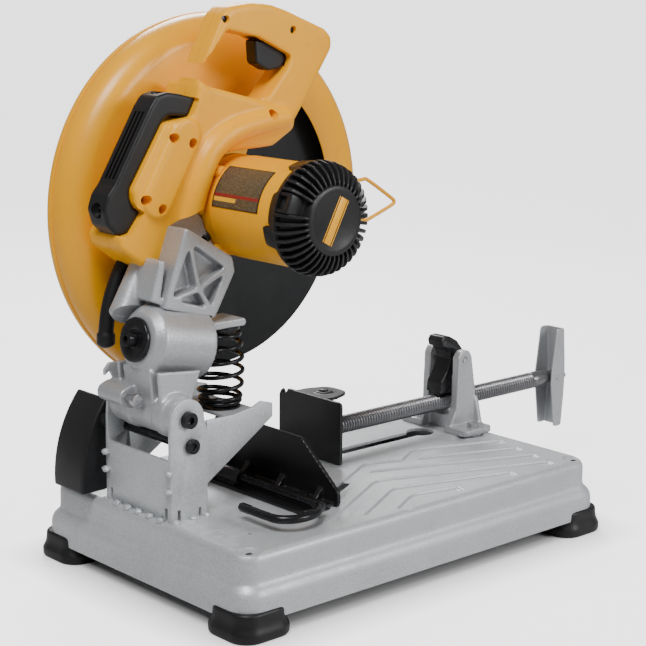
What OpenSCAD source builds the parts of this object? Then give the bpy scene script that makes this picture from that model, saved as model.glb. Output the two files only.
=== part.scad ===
// Abrasive chop saw: stamped base with a quick vise, and a cutting head on a
// rear pivot. Millimetres, +Z up. The origin is on the bench under the middle
// of the base; the operator stands at -Y, the pivot is at +Y, the wheel at +X.

/* [Base] */
// Width of the base across X
base_w = 334; // [330:1:338]
// Length of the base along Y
base_l = 508; // [504:1:512]
// Height of the table top above the bench
table_z = 81; // [81:1:81]
// Sheet thickness of the stamped base
sheet = 3; // [2.5:0.5:3]
// Height of the skirt's lower rim above the bench
rim_z = 18; // [17:1:19]

/* [Wheel and guard] */
// Radius of the cutting wheel
wheel_r = 177.5; // [170:0.5:178]
// Thickness of the cutting wheel
wheel_t = 2.8; // [2.4:0.2:2.8]
// Outer radius of the fixed guard
guard_r = 201; // [201:0.5:203]

/* [Motor] */
// Outer radius of the motor housing
motor_r = 52; // [51:0.5:52]
// Outer radius of the vented end cap
cap_r = 57; // [56:0.5:58]

/* [Vise] */
// Radius of the vise screw
screw_r = 10; // [9:0.5:10]
// Height of the vise screw's axis above the bench
screw_z = 112; // [112:1:112]

/* [Hidden] */
$fn = 64;

// Axes in the YZ plane: head pivot, spindle, motor, lever pin and stop bolt.
pivot = [217, 181];
axle = [55, 360];
motor = [90, 370];
lever = [-224, 165];
stop = [213, 154];
latch = [245, 196];
tilt_screw = [232, 160];
trigger_hinge = [58, 533];
lock_button_angle = -32;

// Stations along X.
ear_near = -36;
ear_far = 72;
plate = 4;
hub_x = 20;
screw_x = 40;
case_x0 = 52;
case_x1 = 92;
cover_x1 = 98;
nose_x1 = 108;
guard_x0 = 100;
guard_x1 = 142;
wheel_x0 = 124.6;
wheel_x1 = wheel_x0 + wheel_t;
slip = 0.05;
clear = 0.1;

// Base shell: the skirt steps in between two heights under the table top.
step_in = 8;
shoulder_z0 = 42;
shoulder_z1 = 55;
corner_r = 24;
foot_x = 146;
foot_y = 232;
bench_hole_r = 4.5;
post_r = 7.5;
pocket_r = 17;
pocket_depth = 4;

// Vise, fence and spring places.
jaw_y = -7;
jaw_pivot_y = -28;
block_y0 = -38;
block_y1 = -18;
fence_y = 80;
fence_pivot = [88, 98];
fence_swing_r = 156;
spring_at = [18, 134];
spring_z0 = 172;
spring_z1 = 251;
spring_wire = 1.7;
spring_turns = 5;
shelf_z = 170;
hub_back = [235, 253];
hub_tilt = 11.3;
hub_r = 35;
hub_len = 73;
foot_rows = [[-1, -1], [-1, 1], [1, -1], [1, 1]];

// ---------- helpers ----------

// A YZ outline given depth from x0 to x1.
module yz(x0, x1) translate([x0, 0, 0]) rotate([90, 0, 90]) linear_extrude(x1 - x0) children();

// An XZ outline given depth from y0 to y1.
module xz(y0, y1) translate([0, y1, 0]) rotate([90, 0, 0]) linear_extrude(y1 - y0) children();

module rod_x(at, r, x0, x1) translate([x0, at[0], at[1]]) rotate([0, 90, 0]) cylinder(r = r, h = x1 - x0);

module rod_y(x, z, r, y0, y1) translate([x, y0, z]) rotate([-90, 0, 0]) cylinder(r = r, h = y1 - y0);

module rod_z(x, y, r, z0, z1) translate([x, y, z0]) cylinder(r = r, h = z1 - z0);

module hex_x(at, r, x0, x1) translate([x0, at[0], at[1]]) rotate([0, 90, 0]) cylinder(r = r, h = x1 - x0, $fn = 6);

module hex_z(x, y, r, z0, z1) translate([x, y, z0]) cylinder(r = r, h = z1 - z0, $fn = 6);

module ring_x(at, r_in, r_out, x0, x1) difference() {
  rod_x(at, r_out, x0, x1);
  rod_x(at, r_in, x0 - 1, x1 + 1);
}

module block(lo, hi) translate(lo) cube(hi - lo);

module round_rect(w, l, r) {
  square([w - 2 * r, l], center = true);
  square([w, l - 2 * r], center = true);
  for (s = foot_rows) translate([s[0] * (w / 2 - r), s[1] * (l / 2 - r)]) circle(r);
}

// A pie slice of the YZ plane around a centre, from angle a0 to a1.
module slice(at, a0, a1, reach) {
  steps = 6;
  polygon(concat([at], [for (i = [0:steps]) let (a = a0 + (a1 - a0) * i / steps)
    [at[0] + reach * cos(a), at[1] + reach * sin(a)]]));
}

module at_centre(at) translate([at[0], at[1]]) children();

// A straight round bar between two points.
module bar(p, q, r) {
  d = q - p;
  len = norm(d);
  translate(p) rotate([0, acos(d[2] / len), atan2(d[1], d[0])]) cylinder(r = r, h = len);
}

// A wire through a list of points, with slightly swollen round corners.
module wire(points, r) {
  for (i = [0:len(points) - 2]) bar(points[i], points[i + 1], r);
  for (i = [1:len(points) - 2]) translate(points[i]) sphere(1.15 * r);
}

// ---------- base ----------

module pan_form(inset) {
  w = base_w - 2 * inset;
  l = base_l - 2 * inset;
  foot = rim_z - (inset > 0 ? 1 : 0);
  translate([0, 0, foot]) linear_extrude(shoulder_z0 - foot) round_rect(w, l, corner_r - inset);
  translate([0, 0, foot]) linear_extrude(table_z - inset - foot)
    round_rect(w - 2 * step_in, l - 2 * step_in, corner_r - 4 - inset);
  intersection() {
    xz(-l / 2, l / 2) polygon([[-w / 2, shoulder_z0], [w / 2, shoulder_z0],
      [w / 2 - step_in, shoulder_z1], [step_in - w / 2, shoulder_z1]]);
    yz(-w / 2, w / 2) polygon([[-l / 2, shoulder_z0], [l / 2, shoulder_z0],
      [l / 2 - step_in, shoulder_z1], [step_in - l / 2, shoulder_z1]]);
    translate([0, 0, shoulder_z0 - 1]) linear_extrude(shoulder_z1 - shoulder_z0 + 2)
      round_rect(w, l, corner_r - inset);
  }
}

module base_pan() color("silver") difference() {
  union() {
    difference() {
      pan_form(0);
      pan_form(sheet);
    }
    for (s = foot_rows) rod_z(s[0] * foot_x, s[1] * foot_y, pocket_r - 2,
      table_z - pocket_depth - sheet, table_z - 1);
  }
  for (s = foot_rows) {
    rod_z(s[0] * foot_x, s[1] * foot_y, pocket_r - 5, table_z - pocket_depth, table_z + 1);
    rod_z(s[0] * foot_x, s[1] * foot_y, bench_hole_r, 60, table_z + 1);
  }
  // Wheel slot, vise slot with its wide end, and the bolt holes.
  block([119, -130, 70], [133, 95, 90]);
  block([screw_x - 10, -185, 70], [screw_x + 10, 45, 90]);
  rod_z(screw_x, -180, 16, 70, 90);
  for (s = [-1, 1]) rod_z(screw_x + s * 44, -222, 4.1, 60, 90);
  rod_z(fence_pivot[0], fence_pivot[1], 5.1, 60, 90);
  translate([fence_pivot[0], fence_pivot[1], 70]) rotate([0, 0, 178]) rotate_extrude(angle = 34)
    translate([fence_swing_r - 4.6, 0]) square([9.2, 20]);
}

module rubber_feet() color("black") for (s = foot_rows) difference() {
  union() {
    translate([s[0] * 140, s[1] * 227, 0]) linear_extrude(rim_z) round_rect(66, 66, 20);
    difference() {
      translate([s[0] * 140, s[1] * 227, rim_z - 1]) linear_extrude(11) round_rect(66, 66, 20);
      translate([0, 0, rim_z]) linear_extrude(30) round_rect(base_w + 2 * clear, base_l + 2 * clear, corner_r);
    }
    rod_z(s[0] * foot_x, s[1] * foot_y, post_r, 1, table_z - pocket_depth - sheet);
  }
  rod_z(s[0] * foot_x, s[1] * foot_y, bench_hole_r, -1, table_z);
}

// ---------- pivot bracket and spring ----------

module ear_outline() difference() {
  union() {
    polygon([[238, table_z], [193, table_z], [193, 166], [197.2, 181], [236.8, 181], [238, 166]]);
    at_centre(pivot) circle(20);
  }
  at_centre(pivot) circle(8);
  at_centre(stop) circle(4.1);
  translate([226, table_z - 1]) square([4, 12]);
  translate([201, table_z - 1]) square([4, 10]);
}

module gusset_outline() polygon([[193.5, 176], [193.5, 112], [186, 117], [110, 166], [110, 180],
  [124, 184], [134, 180], [160, 176]]);

module latch_lug() difference() {
  polygon([[206, 190], [240, 184], [240, 215], [234, 221], [206, 221]]);
  at_centre(pivot) circle(20);
  difference() {
    intersection() {
      at_centre(pivot) circle(norm(latch - pivot) + 4.6);
      slice(pivot, 5, 63, 60);
    }
    at_centre(pivot) circle(norm(latch - pivot) - 4.6);
  }
}

module pivot_bracket() color("lightgray") difference() {
  union() {
    yz(ear_near, ear_near + plate) ear_outline();
    yz(ear_far - plate, ear_far) ear_outline();
    yz(ear_far - plate, ear_far) latch_lug();
    yz(ear_near, ear_near + 3) gusset_outline();
    yz(ear_far - 3, ear_far) gusset_outline();
    block([ear_near + 1, 112, shelf_z - 3], [ear_far - 1, 155, shelf_z]);
    block([ear_near + 1, 234, table_z], [ear_far - 1, 238, 142]);
  }
  for (x = [ear_near + 6, ear_far - 11]) block([x, 230, table_z - 1], [x + 5, 240, 94]);
}

module pivot_bolt() color("black") difference() {
  union() {
    rod_x(pivot, 8, ear_near - 6, ear_near - slip);
    rod_x(pivot, 7.95, ear_near - 3, ear_far + 6);
    hex_x(pivot, 12, ear_far + slip, ear_far + 8);
  }
  hex_x(pivot, 4, ear_near - 7, ear_near - 2);
}

module stop_bolt() color("black") difference() {
  union() {
    rod_x(stop, 7.5, ear_near - 5, ear_near - slip);
    rod_x(stop, 4, ear_near - 3, ear_far + 6);
    rod_x(stop, 6, ear_near + plate + slip, ear_far - plate - slip);
    hex_x(stop, 8, ear_far + slip, ear_far + 6);
  }
  hex_x(stop, 3.5, ear_near - 6, ear_near - 2);
}

module spring_seat_lower() color("dimgray") {
  rod_z(spring_at[0], spring_at[1], 20.5, shelf_z, spring_z0);
  rod_z(spring_at[0], spring_at[1], 13, spring_z0 - 1, spring_z0 + 3);
}

module spring_seat_upper() color("dimgray") {
  rod_z(spring_at[0], spring_at[1], 20, spring_z1, spring_z1 + 3);
  rod_z(spring_at[0], spring_at[1], 10, spring_z1 - 3, spring_z1 + 1);
}

// Barrel shaped coil: widest near the bottom, closing towards the top.
function coil_r(t) = 15 + 3.3 * sin(180 * (0.18 + 0.72 * (1 - t)));
function coil_point(t) = [spring_at[0] + coil_r(t) * cos(360 * spring_turns * t),
  spring_at[1] + coil_r(t) * sin(360 * spring_turns * t),
  spring_z0 + spring_wire + (spring_z1 - spring_z0 - 2 * spring_wire) * t];

module return_spring() color("black") {
  steps = spring_turns * 24;
  sides = 8;
  points = [for (i = [0:steps]) for (k = [0:sides - 1])
    let (t = i / steps, a = 360 * k / sides, turn = 360 * spring_turns * t)
    coil_point(t) + spring_wire * [cos(a) * cos(turn), cos(a) * sin(turn), sin(a)]];
  walls = [for (i = [0:steps - 1]) for (k = [0:sides - 1])
    [i * sides + k, i * sides + (k + 1) % sides, (i + 1) * sides + (k + 1) % sides, (i + 1) * sides + k]];
  ends = [[for (k = [0:sides - 1]) sides - 1 - k], [for (k = [0:sides - 1]) steps * sides + k]];
  polyhedron(points = points, faces = concat(walls, ends), convexity = 10);
}

// ---------- spark deflector ----------

deflector_centre = [125, 95];

module deflector_band(r_in, r_out) difference() {
  intersection() {
    at_centre(deflector_centre) circle(r_out, $fn = 128);
    slice(deflector_centre, -4, 40, 160);
  }
  at_centre(deflector_centre) circle(r_in, $fn = 128);
}

module spark_deflector() color("black") difference() {
  union() {
    yz(80, 132) deflector_band(134, 137);
    for (x = [80, 129]) yz(x, x + 3) deflector_band(110, 135);
    rod_x(tilt_screw, 8, ear_far + clear, 81);
  }
  rod_x(tilt_screw, 4 + slip, 60, 90);
}

module deflector_screw() color("dimgray") {
  rod_x(tilt_screw, 4, ear_far + slip, 86);
  rod_x(tilt_screw, 7, 83.1, 88);
}

// ---------- vise ----------

module vise_ear_outline() difference() {
  union() {
    polygon([[-246, table_z], [-200, table_z], [-204, 92], [-211, 104], [-213.1, 163], [-234.9, 163], [-244, 128]]);
    at_centre(lever) circle(11);
  }
  at_centre(lever) circle(4 + slip);
}

module vise_bracket() color("silver") difference() {
  union() {
    yz(screw_x - 28, screw_x - 18) vise_ear_outline();
    yz(screw_x + 18, screw_x + 28) vise_ear_outline();
    block([screw_x - 54, -246, table_z], [screw_x - 20, -200, 89]);
    block([screw_x + 20, -246, table_z], [screw_x + 54, -200, 89]);
    block([screw_x - 20, -246, table_z], [screw_x + 20, -212, 99]);
  }
  rod_y(screw_x, screw_z, screw_r + 2, -250, -190);
  for (s = [-1, 1]) rod_z(screw_x + s * 44, -222, 4.1, 70, 100);
}

module vise_bracket_bolts() color("gray") for (s = [-1, 1]) {
  hex_z(screw_x + s * 44, -222, 7, 89 + slip, 94);
  rod_z(screw_x + s * 44, -222, 4, 66, 93);
  hex_z(screw_x + s * 44, -222, 7, 70, table_z - sheet - slip);
}

module lever_pin() color("gray") rod_x(lever, 4, screw_x - 29, screw_x + 29);

// Hooked thumb lever that carries the half nut over the screw.
module release_lever() color("black") difference() {
  yz(screw_x - 16, screw_x + 16) polygon([[-196, 188], [-200, 179], [-210, 178], [-215, 168],
    [-212, 150], [-203, 136], [-203, 118], [-234, 118], [-237, 150], [-240, 160], [-238, 172],
    [-228, 184], [-214, 191], [-203, 192]]);
  rod_x(lever, 4.1, 0, 80);
  rod_y(screw_x, screw_z, 12.5, -250, -190);
  for (s = [-1, 1]) block([screw_x + s * 13 - 6, -245, 100], [screw_x + s * 13 + 6, -195, 126]);
}

module jaw_block() color("dimgray") difference() {
  union() {
    block([screw_x - 12, block_y0, 86], [screw_x + 12, block_y1, 126]);
    rod_z(screw_x, jaw_pivot_y, 9, 125, 149.9);
    rod_z(screw_x, jaw_pivot_y, 5, 149, 157);
    block([screw_x - 8, block_y0, 73], [screw_x + 8, block_y1, 87]);
    block([screw_x - 18, block_y0, 70], [screw_x + 18, block_y1, 77]);
  }
  rod_y(screw_x, screw_z, 7 + slip, block_y0 - 1, -20);
}

module vise_screw() color("gray") difference() {
  union() {
    rod_y(screw_x, screw_z, screw_r, -396, block_y0 - clear);
    rod_y(screw_x, screw_z, 7, block_y0 - 1, -20.5);
    rod_y(screw_x, screw_z, 7, -424, -395);
  }
  rod_x([-408, screw_z], 3.05, 20, 60);
}

module crank_outline() polygon([[-397, 118], [-397, 106], [-408, 50], [-418, 50], [-421, 112],
  [-418, 174], [-408, 174]]);

module crank_handle() color("silver") difference() {
  union() {
    for (x = [screw_x - 14, screw_x + 11.5]) yz(x, x + 2.5) crank_outline();
    yz(screw_x - 14, screw_x + 14) polygon([[-415.5, 50], [-418, 50], [-421, 112], [-418, 174],
      [-415.5, 174], [-418.5, 112]]);
  }
  rod_y(screw_x, screw_z, 7.05, -430, -405);
  rod_x([-408, screw_z], 3.05, 20, 60);
}

module crank_fasteners() color("gray") {
  rod_x([-408, screw_z], 3, screw_x - 15, screw_x + 15);
  difference() {
    translate([screw_x, -421 - slip, screw_z]) rotate([90, 0, 0]) cylinder(r = 11, h = 6, $fn = 6);
    rod_y(screw_x, screw_z, 7, -430, -415);
  }
}

module vise_jaw() color("black") difference() {
  union() {
    block([screw_x - 50, jaw_y - 4, 84], [screw_x + 50, jaw_y, 154]);
    block([screw_x - 26, jaw_pivot_y, 150], [screw_x + 26, jaw_y - 1, 154]);
    rod_z(screw_x, jaw_pivot_y, 26, 150, 154);
  }
  rod_z(screw_x, jaw_pivot_y, 5 + slip, 140, 160);
  block([screw_x + 38, jaw_y - 6, 147], [screw_x + 44, jaw_y + 2, 160]);
}

// ---------- fence and wrench ----------

module fence() color("black") difference() {
  union() {
    xz(fence_y, fence_y + 4) polygon([[-106, table_z + clear], [90, table_z + clear], [90, 142],
      [-50, 142], [-106, 97]]);
    block([-100, fence_y + 3, table_z + clear], [98, fence_y + 48, table_z + 4 + clear]);
    for (x = [-84, -26, 30]) yz(x, x + 7) polygon([[fence_y + 3, 84], [fence_y + 15, 84], [fence_y + 3, 98]]);
  }
  rod_z(fence_pivot[0], fence_pivot[1], 5 + slip, 70, 100);
  rod_z(fence_pivot[0] - fence_swing_r, fence_pivot[1], 4 + slip, 70, 100);
}

module fence_pivot_bolt() color("gray") {
  hex_z(fence_pivot[0], fence_pivot[1], 8.5, table_z + 4 + 2 * clear, 92);
  rod_z(fence_pivot[0], fence_pivot[1], 5, 66, 91);
  hex_z(fence_pivot[0], fence_pivot[1], 8.5, 70, table_z - sheet - slip);
}

module fence_clamp_bolt() color("gray") {
  hex_z(fence_pivot[0] - fence_swing_r, fence_pivot[1], 7, table_z + 4 + 2 * clear, 91);
  rod_z(fence_pivot[0] - fence_swing_r, fence_pivot[1], 4, 66, 90);
  hex_z(fence_pivot[0] - fence_swing_r, fence_pivot[1], 7.5, 70, table_z - sheet - clear);
}

wrench_y = 118;
wrench_z = 94;

module wrench_holder() color("black") difference() {
  union() {
    rod_x([wrench_y, wrench_z], 8, 4, 62);
    block([8, wrench_y - 6, table_z + 4 + clear], [58, wrench_y + 6, wrench_z]);
  }
  rod_x([wrench_y, wrench_z], 5, 0, 70);
}

module hex_wrench() color("black") {
  wire([[56, wrench_y, wrench_z], [-106, wrench_y, wrench_z], [-132, 136, wrench_z], [-134, 162, wrench_z],
    [-118, 178, wrench_z], [-82, 178, wrench_z]], 4.5);
  translate([-84, 178, wrench_z]) rotate([0, 90, 0]) cylinder(r = 4.2, h = 14, $fn = 6);
}

// ---------- head: pivot housing and arm ----------

module along_hub() translate([hub_x, hub_back[0], hub_back[1]]) rotate([90 + hub_tilt, 0, 0]) children();

module spring_lug(grow) block([0 - grow, 114 - grow, spring_z1 + 3], [36 + grow, 172, 262 + grow]);

module pivot_housing() color("silver") difference() {
  union() {
    rod_x(pivot, 20, ear_near + plate + 0.5, ear_far - plate - 0.5);
    along_hub() {
      cylinder(r1 = 28, r2 = hub_r, h = 8);
      translate([0, 0, 8]) cylinder(r = hub_r, h = hub_len - 8);
    }
    yz(0, 40) polygon([[203, 185], [232, 185], [236, 224], [196, 222]]);
    for (x = [-15, 16, 50]) yz(x, x + 5) polygon([[199, 181], [236, 181], [241, 226], [184, 221]]);
    yz(22, 62) polygon([[222, 186], [245, 187], [246, 205], [225, 207]]);
    rod_x(latch, 9, 22, 62);
    spring_lug(0);
  }
  rod_x(pivot, 11, -60, 90);
  rod_x(latch, 4.1, 0, 90);
  along_hub() translate([0, 0, -1]) cylinder(r = 10, h = hub_len + 2);
}

module pivot_bushings() color("goldenrod") for (x = [ear_near + plate + 0.6, ear_far - plate - 18.6])
  ring_x(pivot, 8, 11, x, x + 18);

module hub_cap() color("black") along_hub() difference() {
  translate([0, 0, -5]) cylinder(r = 22, h = 5);
  translate([0, 0, -6]) cylinder(r = 10, h = 8);
}

module hub_bolt() color("black") along_hub() difference() {
  union() {
    translate([0, 0, -4]) cylinder(r = 9.95, h = 70);
    translate([0, 0, -14]) cylinder(r = 7.5, h = 10);
  }
  translate([0, 0, -15]) cylinder(r = 3.5, h = 7, $fn = 6);
}

module lock_pin() color("gray") {
  rod_x(latch, 4, 10, 57);
  rod_x(latch, 7, 5, 11);
}

module arm_outline() polygon([[126, 338], [124, 311], [150, 266], [207, 280], [226, 290], [224, 303],
  [210, 316], [196, 328], [182, 358], [150, 372]]);

module arm_pocket() polygon([[131, 333], [131, 313], [153, 274], [202, 286], [176, 351], [150, 362]]);

module case_outline(grow) {
  at_centre(axle) circle(42 + grow);
  at_centre(motor) circle(49 + grow);
}

module gear_case() color("silver") difference() {
  union() {
    yz(case_x0, case_x1) case_outline(0);
    yz(50, 64) arm_outline();
    yz(4, 51) difference() {
      arm_outline();
      arm_pocket();
    }
    intersection() {
      yz(12, 51) arm_pocket();
      union() {
        translate([0, 176, 356]) rotate([-14, 0, 0]) block([0, -2.5, -100], [60, 2.5, 10]);
        translate([0, 126, 312]) rotate([-19, 0, 0]) block([0, -10, -2.5], [60, 100, 2.5]);
      }
    }
  }
  rod_x(motor, motor_r + clear, 0, case_x0);
  rod_x(axle, 33, 60, case_x1 + 1);
  rod_x(motor, 20, 60, case_x1 + 1);
  rod_x(motor, 13, 40, 70);
  rod_x(axle, 16, 54, 70);
  along_hub() translate([0, 0, -30]) cylinder(r = hub_r + slip, h = hub_len + 32);
  spring_lug(slip);
  lock_bore();
}

module gear_cover() color("silver") difference() {
  union() {
    yz(case_x1, cover_x1) case_outline(0);
    rod_x(axle, 30, cover_x1 - 1, nose_x1);
  }
  rod_x(axle, 16, 90, nose_x1 + 1);
}

module bearings() color("gray") {
  ring_x(axle, 10 + slip, 16, 56, 64);
  ring_x(axle, 10 + slip, 16, 98, nose_x1 - 1);
  ring_x(motor, 6 + slip, 13, 46, 58);
  ring_x(motor, 6 + slip, 13, -98, -90);
}

// ---------- head: motor ----------

// The hole that the spindle lock button slides in.
module lock_bore() translate([40, motor[0], motor[1]]) rotate([lock_button_angle, 0, 0])
  rotate([-90, 0, 0]) cylinder(r = 6.1, h = 70);

module motor_housing() color("gold") difference() {
  union() {
    ring_x(motor, motor_r - 3, motor_r, -52, case_x0);
    ring_x(motor, 13, motor_r - 2, 46, case_x0);
  }
  lock_bore();
}

module end_cap() color("black") difference() {
  translate([0, motor[0], motor[1]]) rotate([0, 90, 0]) rotate_extrude() polygon([[13, -102],
    [13, -90], [17, -90], [17, -101], [33, -101], [46, -94], [cap_r - 4, -82], [cap_r - 4, -52 - clear],
    [cap_r - 1, -52 - clear], [cap_r, -60], [cap_r, -84], [cap_r - 7, -97], [36, -104], [33, -106],
    [0, -106], [0, -102]]);
  for (i = [0:17]) translate([0, motor[0], motor[1]]) rotate([i * 20, 0, 0])
    block([-108, 38, -2], [-86, 49, 2]);
}

module brush_holders() color("dimgray") for (a = [30, 210]) translate([0, motor[0], motor[1]])
  rotate([a, 0, 0]) block([-58, 14.2, -5], [-48, 40, 5]);

module field_core() color("gray") ring_x(motor, 31, motor_r - 3, -30, 20);

module armature_shaft() color("silver") rod_x(motor, 6, -99, 84);

module armature_core() color("gray") ring_x(motor, 6, 30, -32, 22);

module commutator() color("goldenrod") ring_x(motor, 6, 14, -62, -42);

module cooling_fan() color("black") difference() {
  union() {
    ring_x(motor, 6, 10, 26, 36);
    ring_x(motor, 9, 42, 26, 28);
    for (i = [0:11]) translate([0, motor[0], motor[1]]) rotate([i * 30, 0, 0])
      block([27, 16, -1], [34, 41, 1]);
  }
}

module pinion() color("gray") ring_x(motor, 6, 7.2, 62, 82);

module rating_plate() color("lightgray") {
  intersection() {
    ring_x(motor, motor_r, motor_r + 0.5, -50, 22);
    yz(-60, 30) slice(motor, 4, 58, 90);
  }
}

module spindle_lock() color("black") translate([40, motor[0], motor[1]]) rotate([lock_button_angle, 0, 0])
  rotate([-90, 0, 0]) difference() {
    translate([0, 0, 47]) cylinder(r = 6, h = 9);
    translate([0, 0, 53]) cylinder(r = 3, h = 4);
  }

// ---------- head: spindle and wheel ----------

module spindle() color("silver") difference() {
  union() {
    rod_x(axle, 10, 58, 112);
    rod_x(axle, 12.7, 109, wheel_x1 - 0.5);
  }
  rod_x(axle, 5, 96, 130);
}

module drive_gear() color("gray") ring_x(axle, 10, 28.8, 68, 80);

module inner_flange() color("dimgray") difference() {
  union() {
    rod_x(axle, 24, 113, 121);
    rod_x(axle, 38, 119, wheel_x0);
  }
  rod_x(axle, 12.7, 100, 130);
}

module outer_flange() color("dimgray") difference() {
  rod_x(axle, 38, wheel_x1, 134);
  rod_x(axle, 5, 120, 140);
}

module arbor_bolt() color("gray") {
  rod_x(axle, 5, 98, 137);
  rod_x(axle, 14, 134, 136);
  hex_x(axle, 10, 136, 143);
}

module abrasive_wheel() color("dimgray") ring_x(axle, 12.7, wheel_r, wheel_x0, wheel_x1);

// ---------- head: guards ----------

module guard_sector(a0, a1, r_in, r_out) difference() {
  intersection() {
    at_centre(axle) circle(r_out, $fn = 160);
    slice(axle, a0, a1, 260);
  }
  at_centre(axle) circle(r_in, $fn = 128);
}

fixed_from = -75;
fixed_to = 114;
swing_from = 105;
swing_to = 195;

module upper_guard() color("gold") difference() {
  union() {
    yz(guard_x0, guard_x0 + 2) guard_sector(fixed_from, fixed_to, 30 + clear, guard_r);
    yz(guard_x0, guard_x0 + 2) difference() {
      at_centre(axle) circle(46);
      at_centre(axle) circle(30 + clear);
    }
    yz(guard_x0 + 1, guard_x1 - 1) guard_sector(fixed_from, fixed_to, guard_r - 2, guard_r);
    yz(guard_x1 - 2, guard_x1) guard_sector(fixed_from, fixed_to, 56, guard_r);
    ring_x(axle, 52, 60, guard_x1 - 2, guard_x1);
    ring_x(axle, 52, 58, guard_x1 - 6, guard_x1 - 1);
  }
  for (i = [0:3]) translate([0, axle[0], axle[1]]) rotate([45 + i * 90, 0, 0])
    rod_x([37, 0], 2.6, 90, 110);
}

module guard_screws() color("gray") for (i = [0:3]) translate([0, axle[0], axle[1]])
  rotate([45 + i * 90, 0, 0]) {
    rod_x([37, 0], 4.5, guard_x0 + 2, guard_x0 + 5);
    rod_x([37, 0], 2.5, cover_x1, guard_x0 + 3);
  }

module lower_guard() color("gold") {
  yz(103, 105) guard_sector(swing_from, swing_to, 145, guard_r - 4);
  yz(104, 138.5) guard_sector(swing_from, swing_to, guard_r - 6, guard_r - 4);
  yz(136.6, 138.6) guard_sector(swing_from, swing_to, 62, guard_r - 4);
  ring_x(axle, 58 + clear, 66, 136.6, 138.6);
}

module guard_handle() color("gold") wire([[100.7, -122, 371], [100.7, -146, 374], [100.7, -194, 343],
  [100.7, -147, 325], [100.7, -124, 330]], 2.2);

// ---------- head: handle ----------

module handle_outline() difference() {
  polygon([[109, 564], [100, 569], [73, 573], [50, 571], [28, 565], [-24, 546], [-33, 540], [-35, 527],
    [1, 473], [20, 448], [80, 440], [150, 470], [140, 500]]);
  polygon([[107, 547], [142, 505], [143, 499], [132, 492], [63, 475], [27, 507], [20, 519], [65, 539]]);
}

module body_outline() polygon([[143, 497], [132, 491], [63, 474], [20, 456], [26, 440], [50, 428],
  [150, 424], [146, 360], [190, 313], [212, 318], [242, 340], [244, 351], [224, 378], [226, 396],
  [186, 458], [150, 462], [128, 477]]);

handle_bolts = [[108, 557], [20, 545], [55, 461], [180, 444], [158, 438], [214, 386], [196, 376]];
carry_bolts = [[190, 478], [245, 378]];

module shell_cuts() {
  rod_x(motor, motor_r + 0.6, 0, case_x0 + clear);
  yz(case_x0 - clear, cover_x1 + 1) case_outline(clear);
  yz(3, 64.2) arm_outline();
  yz(39.9, 70.1) carry_outline();
  yz(45.5, 64.5) polygon([[66, 557], [19, 552], [19, 508], [66, 508]]);
  for (p = handle_bolts) {
    rod_x(p, 3.8, 20, 45);
    rod_x(p, 2 + slip, 44, 70);
  }
}

module handle_shell_left() color("gold") difference() {
  union() {
    yz(37, 55) handle_outline();
    yz(32, 55) body_outline();
  }
  shell_cuts();
}

module handle_shell_right() color("gold") difference() {
  union() {
    yz(55, 73) handle_outline();
    yz(55, 90) body_outline();
  }
  shell_cuts();
}

module handle_screws() color("dimgray") {
  for (p = handle_bolts) {
    rod_x(p, 3.6, 42, 45);
    rod_x(p, 2, 44, 69);
  }
  for (p = carry_bolts) rod_x(p, 4, 44, 66);
}

module carry_outline() polygon([[145, 481], [166, 487], [182, 490], [196, 487], [205, 478], [249, 405],
  [259, 390], [259, 375], [252, 361], [241, 352], [230, 354], [214, 374], [222, 379], [227, 389],
  [226, 398], [187, 459], [178, 465], [155, 463]]);

module carry_handle() color("black") difference() {
  yz(40, 70) carry_outline();
  for (p = carry_bolts) {
    rod_x(p, 6, 30, 44);
    rod_x(p, 4 + slip, 43, 67);
  }
}

module switch() color("dimgray") block([46, 24, 540], [64, 62, 550]);

module trigger() color("black") difference() {
  yz(46.5, 63.5) polygon([[64, 536], [24, 530], [22, 514], [29, 506], [46, 504], [62, 512]]);
  rod_x(trigger_hinge, 1.5, 40, 70);
}

module cord_sleeve() color("black") {
  translate([75, 90, 240]) rotate([90, 0, 90]) rotate([0, 0, 3]) rotate_extrude(angle = 28)
    translate([143.5, 0]) circle(8);
  translate([75, 233.2, 241]) cylinder(r1 = 10, r2 = 8, h = 9);
}

base_pan();
rubber_feet();
pivot_bracket();
pivot_bolt();
stop_bolt();
spring_seat_lower();
return_spring();
spark_deflector();
deflector_screw();
vise_bracket();
vise_bracket_bolts();
lever_pin();
release_lever();
jaw_block();
vise_screw();
crank_handle();
crank_fasteners();
vise_jaw();
fence();
fence_pivot_bolt();
fence_clamp_bolt();
wrench_holder();
hex_wrench();
pivot_housing();
pivot_bushings();
hub_cap();
hub_bolt();
lock_pin();
spring_seat_upper();
gear_case();
gear_cover();
bearings();
field_core();
motor_housing();
end_cap();
brush_holders();
upper_guard();
guard_screws();
handle_shell_left();
handle_shell_right();
handle_screws();
switch();
trigger();
carry_handle();
cord_sleeve();
rating_plate();
spindle_lock();
armature_shaft();
armature_core();
commutator();
cooling_fan();
pinion();
spindle();
drive_gear();
inner_flange();
outer_flange();
arbor_bolt();
abrasive_wheel();
lower_guard();
guard_handle();
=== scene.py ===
"""Looks for an abrasive chop saw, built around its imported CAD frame, in millimetres up to the stage."""

from math import atan2, cos, degrees, pi, radians, sin, tan

import bmesh
import bpy
import numpy as np
from mathutils import Matrix, Vector


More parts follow.
